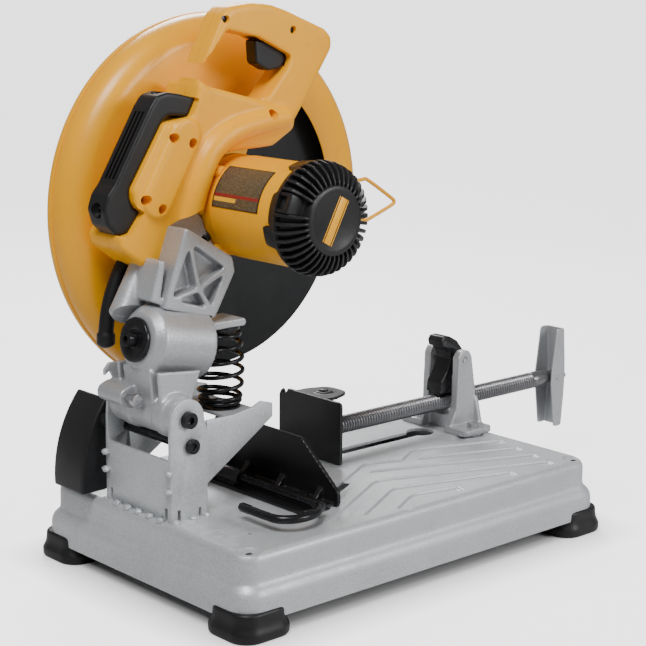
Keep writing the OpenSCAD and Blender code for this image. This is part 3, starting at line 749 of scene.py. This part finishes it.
def hex_key():
    """Stowed bent key: one smooth bar, with a hexagonal tip."""
    lo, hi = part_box("hex_wrench")
    near, far, z = lo.y / MM + 4.5, hi.y / MM - 4.5, (lo.z + hi.z) / 2 / MM
    line = [(56, near), (-104, near), (-118, near + 4), (-129, 131), (-134, 142), (-135, 156), (-131, 168),
            (-122, far - 2), (-110, far), (-80, far)]
    bar = tube("hex_key_bent", smooth_path([(x, y, z) for x, y in line], 8), 4.3, 20)
    tip = chamfer(solid("tip", circle((far, z), 4.9, 6), "x", -84, -70), 0.8)
    return dress(join("hex_key_bent", [bar, tip]), "black_steel", "wrench", ["hex_wrench"], 50)


# ---- head: castings

HUB = ((20, 235, 253), 101.3)  # foot of the hub, and the turn that lays +Z along it


def button_bore():
    """The lock button's hole, square to the motor's axis."""
    lean = radians(-32)
    return aim(disc("bore", (0, 0), 6.2, "z", 30, 70, 32), (40, *MOTOR[1:]), (cos(lean), sin(lean)))


def hub_casting():
    """Pivot knuckle with its tilted hub, a wide soft chamfer ring, ribs and the pin's boss."""
    ring = [(0, 0), (22, 0), (27, 1.2), (33.6, 7.5), (35, 10), (35, 73), (0, 73)]
    parts = [spin(lathe("hub", ring, (0, 0), "z"), *HUB)]
    parts.append(disc("knuckle", PIVOT[1:], 20, "x", -31.3, 67.3, 64))
    for a, b in ((-20, -6), (34, 48)):
        parts.append(lathe("band", rect(0, a, 21.5, b), PIVOT[1:], "x", 64))
    parts.append(solid("neck", [(201, 183), (233, 183), (237, 226), (194, 224)], "x", -2, 42))
    for x in (-15, -3, 16, 34, 50):
        parts.append(solid("rib", [(199, 181), (233, 181), (236, 226), (184, 221)], "x", x, x + 4))
    parts.append(solid("step", rounded([(220, 184), (246, 185), (247, 206), (224, 208)], 4, 4), "x", 23, 63))
    parts.append(disc("boss", LOCK_PIN[1:], 9, "x", 23, 63, 40))
    parts.append(solid("lug", rounded(rect(114, 254, 172, 262), 3, 4), "x", 0, 36))
    ob = mould(join("pivot_casting", parts), 1.2, 6)
    cut(ob, disc("bore", PIVOT[1:], 11, "x", -60, 90), disc("bore", LOCK_PIN[1:], 4.1, "x", 0, 90, 24))
    cut(ob, spin(disc("bore", (0, 0), 10, "z", -2, 80, 32), *HUB))
    return dress(ob, "cast_alloy", "head", ["pivot_housing"], 50)


def web_pockets():
    """Cutters for the four triangles between the web's ribs, which meet at one point."""
    spots = ((181, 348), (132, 315), (154, 273), (207, 289), (170, 297))
    apex, right, low, left, heart = [Vector(spot) for spot in spots]
    for a, b, rib in ((apex, right, 2.6), (right, low, 2.6), (low, left, 2.6), (left, apex, 2.4)):
        corners = [a, b, heart]
        inside = []
        for k, q in enumerate(corners):
            u, v = (corners[k - 1] - q).normalized(), (corners[(k + 1) % 3] - q).normalized()
            inside.append(tuple(q + (u + v).normalized() * (rib / sin(u.angle(v) / 2))))
        yield solid("pocket", rounded(inside, 2.5, 4), "x", -5, 17)


def arm_casting():
    """Open-backed triangular web, its tall bar, a rounded neck and the gear case behind them."""
    outline = rounded([(126, 340), (125, 311), (151, 265), (207, 279), (220, 290), (216, 303), (206, 317),
                       (199, 329), (184, 360), (150, 373)], [5, 4, 4, 8, 8, 6, 6, 8, 6, 6], 5)
    web = rounded([(186, 360), (128, 325), (125, 310), (151, 265), (214, 283)], [3, 4, 3, 4, 3], 4)
    parts = [solid("floor", outline, "x", 36, 52), cut(solid("rim", web, "x", 4, 51), *web_pockets())]
    parts.append(solid("rail", rounded([(206, 329), (214, 329), (225, 291), (214, 286)], 2, 3), "x", 10, 40))
    neck = smooth_path([(50, 196, 338), (50, 207, 316), (49, 220, 292), (48, 230, 272)], 8)
    parts.append(tube("neck", neck, lambda t: 12.5 + 3.5 * t * t, 24))
    for spot, r in ((AXLE[1:], 42), (MOTOR[1:], 49)):
        parts.append(disc("case", spot, r, "x", 52, 98, 96))
    parts += [disc("nose", AXLE[1:], 30, "x", 97, 108, 72), solid("plate", outline, "x", 50, 63.5)]
    ob = mould(join("arm_casting", parts), 1.2, 7)
    cut(ob, disc("bore", MOTOR[1:], 52.2, "x", -10, 52, 128), disc("bore", AXLE[1:], 16.1, "x", 54, 110, 64))
    cut(ob, spin(disc("bore", (0, 0), 35.1, "z", -30, 76, 96), *HUB))
    cut(ob, box("lug", (-1, 113, 253.5), (37, 173, 262.4)), button_bore())
    return dress(ob, "cast_alloy", "head", ["gear_case", "gear_cover"], 45)


def spring():
    """Barrel-shaped coil with closed ends."""
    steps, wire = 520, 2.25
    low = SPRING_LOW + wire
    height = SPRING_TOP - wire - low
    # Turns run, and the height there.
    climb = ((0, 0), (1.7, 3.4 * wire), (6.3, height - 1.8 * wire), (7.2, height))
    path = []
    for i in range(steps + 1):
        turn = climb[-1][0] * i / steps
        k = max(n for n in range(3) if turn >= climb[n][0])
        (t0, z0), (t1, z1) = climb[k], climb[k + 1]
        z = z0 + (z1 - z0) * (turn - t0) / (t1 - t0)
        r = 16.5 + 6.5 * sin(pi * (0.14 + 0.70 * (1 - z / height)))
        path.append((SEAT[0] + r * cos(2 * pi * turn), SEAT[1] + r * sin(2 * pi * turn), low + z))
    ob = tube("return_coil", path, wire, 14)
    wear_look(ob, "black_steel", 60)
    start, end = [(SEAT[0] * MM, SEAT[1] * MM, z * MM) for z in (SPRING_LOW, SPRING_TOP)]
    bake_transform(ob)
    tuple(start)
    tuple(end)
    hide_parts("return_spring")
    return ob


def spark_deflector():
    """Curved channel behind the wheel, open on the wheel's side, with its tilting lug."""
    c = (125, 95)
    line = arc(c, 137, -4, 40, 28) + [(226, 178), (221, 168), (221, 152), (226, 118), (230, 86)]
    ob = chamfer(solid("spark_channel", line, "x", 80.4, 132), 4.0, 4, 50)
    cut(ob, solid("well", [*arc(c, 134, -12, 50, 36), (190, 190), (190, 60)], "x", 83, 129))
    combine(ob, disc("lug", TILT_SCREW[1:], 8, "x", 72.2, 81, 40), "UNION")
    cut(ob, disc("bore", TILT_SCREW[1:], 4.1, "x", 60, 90, 28))
    return dress(ob, "black_plastic", "deflector", ["spark_deflector"], 40)


# ---- head: motor

CAP = (0, *MOTOR[1:])

def motor_housing():
    """Moulded motor housing: flange, fillet step and screw pillars."""
    wall = [(48.5, -72), (51.6, -72), (51.9, -70), (52, -40), (52, 22), (51.6, 24), (50.6, 26), (50.6, 40),
            (51.4, 42.5), (52, 44), (52, 52), (13, 52), (13, 46), (47, 46), (48.5, 44)]
    parts = [cut(lathe("wall", wall, MOTOR[1:], "x", 128), button_bore())]
    for a in (-52, 48, 140, 228):
        spot = arc(MOTOR[1:], 50, a, a, 1)[0]
        parts.append(lathe("pillar", [(0, 24), (5, 24), (6.4, 27), (6.4, 51.5), (0, 51.5)], spot, "x", 24))
    return dress(join("motor_housing_moulded", parts), "yellow_plastic", "head", ["motor_housing"], 40)


def cap_skirt():
    """The cap's sleeve over the housing: each quarter of its edge has a long and a short tab."""
    edge, steps = -73.0, 240
    loops = []
    for i in range(steps):
        turn = 360.0 * i / steps
        u = (turn - 62) % 90
        reach = 0.0
        for start, stop, length, late in ((0, 24, 12.0, 0.6), (24, 60, 4.0, 0.0)):
            if start <= u <= stop:
                reach = max(reach, length * min(1.0, (u - start) / 3, (stop - u) / 3 + late))
        lip = [(r, edge + reach + t) for r, t in ((52.15, 0.0), (52.6, -0.3), (54.6, -0.3), (55.2, -1.0))]
        t = radians(turn)
        loops.append([(x, MOTOR[1] + r * cos(t), MOTOR[2] + r * sin(t))
                      for r, x in lip + [(56.4, -77), (56.6, -80), (50, -80), (50, -77)]])
    return loft("skirt", loops, closed=True)


def cap_ribs(count, gap_at, gap_half):
    """Radial cooling ribs that thin towards the axis, with a gap left for the brush boss."""
    line = rounded([(48, -77), (56.6, -77), (56.9, -84), (54.5, -93), (47, -100.5), (38, -104.5),
                    (32, -104.8), (32, -96), (44, -90)], [1, 1.5, 5, 6, 8, 6, 1, 1, 3], 4)
    for i in range(count):
        a = 360.0 / count * i
        if abs((a - gap_at + 180) % 360 - 180) < gap_half:
            continue
        rib = solid("rib", line, "z", -1.7, 1.7)
        for v in rib.data.vertices:
            r, x, side = v.co
            v.co = (x, r, side * (0.62 + 0.38 * (r / MM - 30) / 27))
        yield spin(chamfer(rib, 0.7, 2, 40), CAP, a)


def end_cap():
    """Finned black end cap with a tabbed skirt over the yellow housing, and a flat round face."""
    boss_at = 22
    core = [(0, -70), (50.5, -70), (50.5, -82), (45, -91), (34, -98), (0, -98)]
    parts = [cap_skirt(), lathe("core", core, MOTOR[1:]), *cap_ribs(40, boss_at, 12)]
    boss = solid("boss", rounded(rect(-76, -10, -97, 10), 3, 4), "z", 40, 55)
    cut(boss, solid("well", rounded(rect(-79, -6.5, -91, 6.5), 2.5, 4), "z", 47, 60))
    spin(chamfer(boss, 0.9, 2, 40), CAP, boss_at - 90)
    face = [(0, -97), (0, -105.4), (27, -105.4), (28.2, -105.9), (31.5, -105.9), (33.5, -105.2),
            (34.6, -103.4), (34.6, -97)]
    parts += [boss, lathe("face", face, MOTOR[1:])]
    return dress(join("end_cap_finned", parts), "black_plastic", "head", ["end_cap"], 38)


def badge():
    """A plain yellow bar across the cap's face, with a thin rail at each side."""
    parts = []
    for lo, hi in ((-4.2, 4.2), (-6.4, -5.6), (5.6, 6.4)):
        parts.append(chamfer(solid("bar", rect(-24, lo, 24, hi), "x", -105.75, -105.2), 0.15, 2, 40))
    return dress(spin(join("cap_badge", parts), CAP, 118), "yellow_plastic", "head", (), 40)


def label():
    """A thin plate wrapped on the motor, with its own flat chart for the print."""
    x0, x1, nx, na = -50.0, 20.0, 24, 28
    bm = bmesh.new()
    chart = bm.loops.layers.uv.new("UVMap")
    grid = {}
    for s, r in enumerate((52.02, 52.5)):
        for k, (y, z) in enumerate(arc(MOTOR[1:], r, 6, 57, na)):
            for i in range(nx + 1):
                grid[s, i, k] = bm.verts.new(Vector((x0 + (x1 - x0) * i / nx, y, z)) * MM)
    where = {v: (i / nx, k / na) for (s, i, k), v in grid.items()}
    quads = [((s, i, k), (s, i + 1, k), (s, i + 1, k + 1), (s, i, k + 1))
             for s in (0, 1) for i in range(nx) for k in range(na)]
    quads += [((0, i, k), (0, i + 1, k), (1, i + 1, k), (1, i, k)) for i in range(nx) for k in (0, na)]
    quads += [((0, i, k), (0, i, k + 1), (1, i, k + 1), (1, i, k)) for k in range(na) for i in (0, nx)]
    for quad in quads:
        for loop in bm.faces.new([grid[spot] for spot in quad]).loops:
            loop[chart].uv = where[loop.vert]
    return dress(to_object(bm, "motor_label"), "label_film", "head", ["rating_plate"], 40)


def trigger():
    """Moulded trigger with a soft finger face."""
    line = rounded([(64, 536), (24, 530), (22, 514), (29, 506), (46, 504), (62, 512)], [3, 3, 6, 6, 8, 6], 5)
    ob = mould(chamfer(solid("trigger_moulded", line, "x", 46.5, 63.5), 2.6, 3, 50), 0.7, 4)
    return dress(ob, "black_plastic", "trigger", ["trigger"], 50)


# ---- head: guards


def upper_guard():
    """Spun guard: flat wall, wide soft shoulder, drum with a seam and a rolled far rim."""
    c, turn = AXLE[1:], (176, 125.7)
    out = [(30.2, 100.7), (120, 100.7), (165, 100.7), *arc(turn, 25, -90, 0, 12), (201, 131), (200.1, 131.4),
           (200.1, 132.6), (201.4, 133), (202, 134), (202, 138), (201.2, 140.4), (199, 141.7), (196.5, 142),
           (176, 142), (56, 142)]
    back = [(56, 140.2), (176, 140.2), (196, 140.2), (198.2, 139), (199.2, 136), (199.2, 127),
            *arc(turn, 23.3, 0, -90, 12), (165, 102.4), (30.2, 102.4)]
    flange = [(30.2, 100.3), (45.5, 100.3), (46, 100.8), (46, 102.3), (30.2, 102.3)]
    hub = [(52, 136), (58, 136), (58, 139.6), (60, 140), (60, 142), (52, 142)]
    parts = [lathe("shell", out + back, c, "x", 150, -75, 114)]
    parts += [lathe("ring", line, c, "x", 80) for line in (flange, hub)]
    return dress(join("upper_guard_spun", parts), "yellow_paint", "head", ["upper_guard"], 40)


def lower_guard():
    """Swinging guard: open near ring, rim and a full far cheek on its own hub ring."""
    c, turn = AXLE[1:], (174, 126.4)
    loop = [(145, 104.2), (146, 103.4), (165, 103.4), *arc(turn, 23, -90, 0, 10), (197, 134), (196.4, 136.8),
            (194.5, 138.6), (62, 138.6), (62, 137), (193.6, 137), (195, 136), (195.4, 133),
            *arc(turn, 21.4, 0, -90, 10), (165, 105), (146, 105), (145, 104.8)]
    parts = [lathe("shell", loop, c, "x", 90, 105, 195)]
    parts.append(lathe("hub", rect(58.1, 136.7, 66, 138.5), c, "x", 80))
    return dress(join("lower_guard_spun", parts), "yellow_paint", "lower_guard", ["lower_guard"], 40)


def guard_pull():
    """Bent wire pull with rounded corners."""
    line = [(-122, 371), (-140, 372.6), (-149, 371), (-186, 348), (-190.5, 343.5), (-187, 339.5), (-152, 327),
            (-144, 325.5), (-124, 330)]
    ob = tube("guard_pull", smooth_path([(100.7, y, z) for y, z in line], 6), 2.2, 14)
    return dress(ob, "yellow_paint", "lower_guard", ["guard_handle"], 50)


# ---- head: handle

SHELL_JOIN, KERF = 55, 0.15  # where the two shells meet, and half the gap between them
BOLTS = [(108, 557), (20, 545), (55, 461), (180, 444), (158, 438), (214, 386), (196, 376)]
CARRY_MIDDLE = 54.5
CARRY_WELLS = [((180, 487.3), (0.05, 1)), ((256, 377), (1, 0.05))]  # each end screw's place and direction


def carry_outline():
    line = [(145, 481), (166, 486), (180, 488), (192, 485), (200.5, 474), (243.5, 402), (252, 392),
            (257, 378), (252, 362), (241, 352), (230, 354), (214, 374), (222, 379), (227, 389), (226, 398),
            (187, 459), (178, 465), (155, 463)]
    return rounded(line, [3, 8, 10, 10, 8, 12, 8, 10, 8, 6, 4, 3, 4, 5, 5, 6, 5, 3], 4)


def handle_shells():
    """D-handle and body moulding in two halves, with a grip, a side leg and a raised pad."""
    ring = rounded([(110, 562), (101, 569.5), (74, 573), (48, 571), (27, 565), (-26, 545.5), (-35, 537),
                    (-35, 525), (1, 472), (18, 449), (80, 440), (150, 452), (143, 500)],
                   [7, 7, 4, 4, 4, 8, 6, 8, 10, 10, 8, 8, 4], 5)
    hole = rounded([(106, 547), (142, 506), (141, 497), (132, 492), (64, 475.5), (52, 478), (27, 506),
                    (21, 519), (65, 539)], [5, 5, 3, 4, 6, 8, 8, 5, 8], 5)
    body = rounded([(144, 498), (132, 491), (64, 474), (19, 458), (22, 444), (50, 428), (150, 424),
                    (147, 360), (190, 313), (212, 318), (242, 340), (244, 351), (224, 378), (227, 396),
                    (187, 459), (155, 463)], [4, 6, 6, 8, 8, 12, 6, 8, 6, 6, 7, 5, 5, 6, 6, 3], 5)
    arm = rounded([(126, 340), (124, 311), (150, 265), (207, 279), (227, 289), (225, 303), (210, 317),
                   (197, 329), (183, 359), (150, 373)], [5, 6, 6, 8, 5, 4, 6, 8, 6, 6], 5)
    leg = smooth_path([(37, 30, 456), (37, 66, 453), (36, 104, 445), (35, 132, 428), (35, 147, 400),
                       (36, 158, 366), (38, 170, 338)], 8)
    pad = stadium((164, 446), (200, 384), 17)
    parts = [chamfer(solid("part", line, "x", a, b), soft, 2, 50)
             for line, a, b, soft in ((ring, 38, 72, 4.5), (body, 33, 89, 3.5), (pad, 28, 40, 2.2))]
    parts.append(tube("leg", leg, lambda t: 13.5 - 2.5 * abs(2 * t - 1) ** 3, 20))
    ob = mould(join("moulding", parts), 1.5, 9)
    mould(cut(ob, solid("hole", hole, "x", 20, 100)), 1.5, 3)
    cut(ob, disc("bore", MOTOR[1:], 52.7, "x", 0, 52.1, 128), solid("arm", arm, "x", -2, 64.3))
    cut(ob, solid("carry", carry_outline(), "x", 30, 70.1))
    cut(ob, solid("pocket", [(66, 557), (19, 552), (19, 508), (66, 508)], "x", 45.5, 64.5))
    well = [(0, 10), (5.2, 10), (5.2, 34), (4.2, 38.5), (3.8, 40), (3.8, 45), (0, 45)]
    cut(ob, *[lathe("well", well, spot, "x", 32) for spot in BOLTS])
    twin = add("handle_shell_far", ob.data.copy())
    ob.name = "handle_shell_near"
    cut(ob, box("far", (SHELL_JOIN - KERF, -100, 250), (120, 320, 620)))
    cut(twin, box("near", (-20, -100, 250), (SHELL_JOIN + KERF, 320, 620)))
    dress(ob, "yellow_plastic", "head", ["handle_shell_left"], 32)
    dress(twin, "yellow_plastic", "head", ["handle_shell_right"], 32)


def carry_handle():
    """Side carry handle: long grooves down its outer face, and a sunk screw at each end."""
    ob = mould(chamfer(solid("carry_handle_grip", carry_outline(), "x", 40, 70), 4.5, 3, 50), 1.2, 5)
    a, b = Vector((203, 470)), Vector((240.5, 407))
    d = (b - a).normalized()
    out = Vector((-d.y, d.x))
    line = [tuple(q) for q in (a - out * 3.4, a + out * 4, b + out * 4, b - out * 3.4)]
    for x in (CARRY_MIDDLE - 6, CARRY_MIDDLE, CARRY_MIDDLE + 6):
        cut(ob, solid("groove", rounded(line, [3, 0, 0, 3], 4), "x", x - 1.5, x + 1.5))
    well = [(0, -7), (6.2, -7), (7.4, -5.5), (8.2, 0), (8.2, 12), (0, 12)]
    head = [(0, -8), (4.6, -8), (4.6, -4.6), (4.0, -3.8), (2.0, -3.8), (2.0, -6), (0, -6)]
    heads = []
    for spot, way in CARRY_WELLS:
        spot = (CARRY_MIDDLE, *spot)
        cut(ob, aim(lathe("well", well, (0, 0), "z", 40), spot, way))
        heads.append(aim(lathe("head", head, (0, 0), "z", 28), spot, way))
    dress(ob, "black_rubber", "head", ["carry_handle"], 35)
    return dress(join("carry_screw_heads", heads), "black_steel", "head", (), 35)


def cord_sleeve():
    """Smooth rubber cord guard that leaves the body, arcs behind the hub and ends in a cuff."""
    path = [(75, y, z) for y, z in arc((90, 240), 143.5, 43, 0, 59)]
    ob = tube("cord_guard", path, lambda t: 9.3 if t > 0.9 else 7.8, 24)
    return dress(ob, "black_rubber", "head", ["cord_sleeve"], 50)


for build in (base_shell, rubber_feet, weld_beads, vise_screw, crank, vise_bracket, lever, vise_jaw, fence,
              hex_key, hub_casting, arm_casting, spring, spark_deflector, motor_housing, end_cap, badge,
              label, trigger, upper_guard, lower_guard, guard_pull, handle_shells, carry_handle, cord_sleeve):
    build()

# CAD parts kept as they are, by finish, each with the width of its broken edges.
KEPT = {
    "base_paint": {"pivot_bracket": 0.5},
    "black_paint": {"jaw_block": 0.6, "wrench_holder": 0.6},
    "black_plastic": {"switch": 0.5, "spindle_lock": 0.6, "cooling_fan": 0.3},
    "black_steel": {"pivot_bolt": 0.8, "stop_bolt": 0.8, "spring_seat_lower": 0.6, "spring_seat_upper": 0.6,
                    "fence_pivot_bolt": 0.5, "fence_clamp_bolt": 0.5, "hub_cap": 1.2, "hub_bolt": 0.8,
                    "handle_screws": 0.3},
    "zinc_steel": {"deflector_screw": 0.6, "vise_bracket_bolts": 0.5, "lever_pin": 0.4,
                   "crank_fasteners": 0.5, "lock_pin": 0.8, "bearings": 0.3, "field_core": 0.5,
                   "guard_screws": 0.4, "armature_shaft": 0.3, "armature_core": 0.4, "pinion": 0.3,
                   "spindle": 0.3, "drive_gear": 0.4, "inner_flange": 0.5, "outer_flange": 0.6,
                   "arbor_bolt": 0.6},
    "bronze": {"pivot_bushings": 0.3, "brush_holders": 0.4, "commutator": 0.3},
    "abrasive": {"abrasive_wheel": 0.3},
}
for look, widths in KEPT.items():
    for node, width in widths.items():
        polish(nodes[node], look, width)

# ---- stage, in metres

EYE, TARGET = Vector((-1.2803, 1.1703, 0.6072)), Vector((-0.1168, 0.1157, 0.2757))
LENS, ROLL = 93.64, 0.5
SKY_LIGHT, SKY_SEEN = 0.28, 2.3  # the sky's strength as it lights the part, and as the camera sees it
FLOOR_GLOW = 2.1
LAMPS = [((-0.7, 1.1, 2.2), 1.0, 50), ((-1.9, -0.9, 1.0), 0.9, 26), ((1.5, -0.9, 1.5), 1.0, 34)]
LIT = Vector((0, 0.05, 0.28))


def floor():
    """A pale floor that sweeps up behind the part. It glows for the camera, but the glow fades out under and
    around the base, as a painted contact shadow.
    """
    half, front, back, sweep, top = 4.0, 3.5, -3.2, 1.2, 3.8
    line = [(front, 0.0), *[(x, z) for x, z in arc((back + sweep, sweep), sweep, 270, 180, 12)], (back, top)]
    view = Vector((-0.741, 0.671, 0))
    side = Vector((-view.y, view.x, 0))
    bm = bmesh.new()
    rows = [[bm.verts.new(view * d + side * s + Vector((0, 0, z))) for s in (-half, half)] for d, z in line]
    for a, b in zip(rows, rows[1:]):
        bm.faces.new((a[0], a[1], b[1], b[0]))
    ob = to_object(bm, "floor")
    shade(ob, 60)
    n = Nodes("studio_floor")
    tone = n.ramp(n.noise(3.0), 0.2, 0.8)
    seen = n.new("LightPath").outputs["Is Camera Ray"]
    spot = n.new("SeparateXYZ", Vector=n.place)
    # Painted contact shadow: the floor's glow is zero under the base and rises to full a few centimetres past
    # its edges; clear joins the two directions.
    past_painted_shadow_x, past_painted_shadow_y = [n.ramp(n.math("ABSOLUTE", spot.outputs[k]), reach * MM - 0.02, reach * MM + 0.05)
                      for k, reach in enumerate((BASE_HALF_X, BASE_HALF_Y))]
    clear = n.total(past_painted_shadow_x, n.total(past_painted_shadow_y, n.product(n.product(past_painted_shadow_x, past_painted_shadow_y), -1.0)))
    n.surface(Base_Color=n.blend(tone, (0.60, 0.60, 0.60, 1), (0.63, 0.63, 0.63, 1)), Roughness=0.6,
              Emission_Color=(1, 1, 1, 1), Emission_Strength=n.product(n.product(seen, clear), FLOOR_GLOW))
    ob.data.materials.append(n.mat)


def sky():
    world = bpy.data.worlds.new("studio")
    world.use_nodes = True
    tree = world.node_tree
    background = tree.nodes["Background"]
    background.inputs[0].default_value = (1, 1, 1, 1)
    path = tree.nodes.new("ShaderNodeLightPath")
    glow = tree.nodes.new("ShaderNodeMapRange")
    glow.inputs["To Min"].default_value = SKY_LIGHT
    glow.inputs["To Max"].default_value = SKY_SEEN
    tree.links.new(path.outputs["Is Camera Ray"], glow.inputs["Value"])
    tree.links.new(glow.outputs[0], background.inputs[1])
    bpy.context.scene.world = world


def soft_box(place, size, power):
    data = bpy.data.lights.new("soft_box", "AREA")
    data.shape = "DISK"
    data.size = size
    data.energy = power
    ob = add("soft_box", data)
    ob.location = place
    ob.rotation_euler = (LIT - Vector(place)).to_track_quat("-Z", "Y").to_euler()


def camera():
    """A long lens at the photograph's viewing angle, with its slight roll."""
    data = bpy.data.cameras.new("photo_view")
    data.lens = LENS
    data.sensor_width = 36.0
    data.clip_start = 0.05
    ahead = (TARGET - EYE).normalized()
    right = ahead.cross(Vector((0, 0, 1))).normalized()
    up = right.cross(ahead)
    roll = radians(ROLL)
    right, up = right * cos(roll) + up * sin(roll), up * cos(roll) - right * sin(roll)
    ob = add("photo_view", data)
    ob.matrix_world = Matrix.Translation(EYE) @ Matrix((right, up, -ahead)).transposed().to_4x4()
    bpy.context.scene.camera = ob


floor()
sky()
for lamp in LAMPS:
    soft_box(*lamp)
camera()
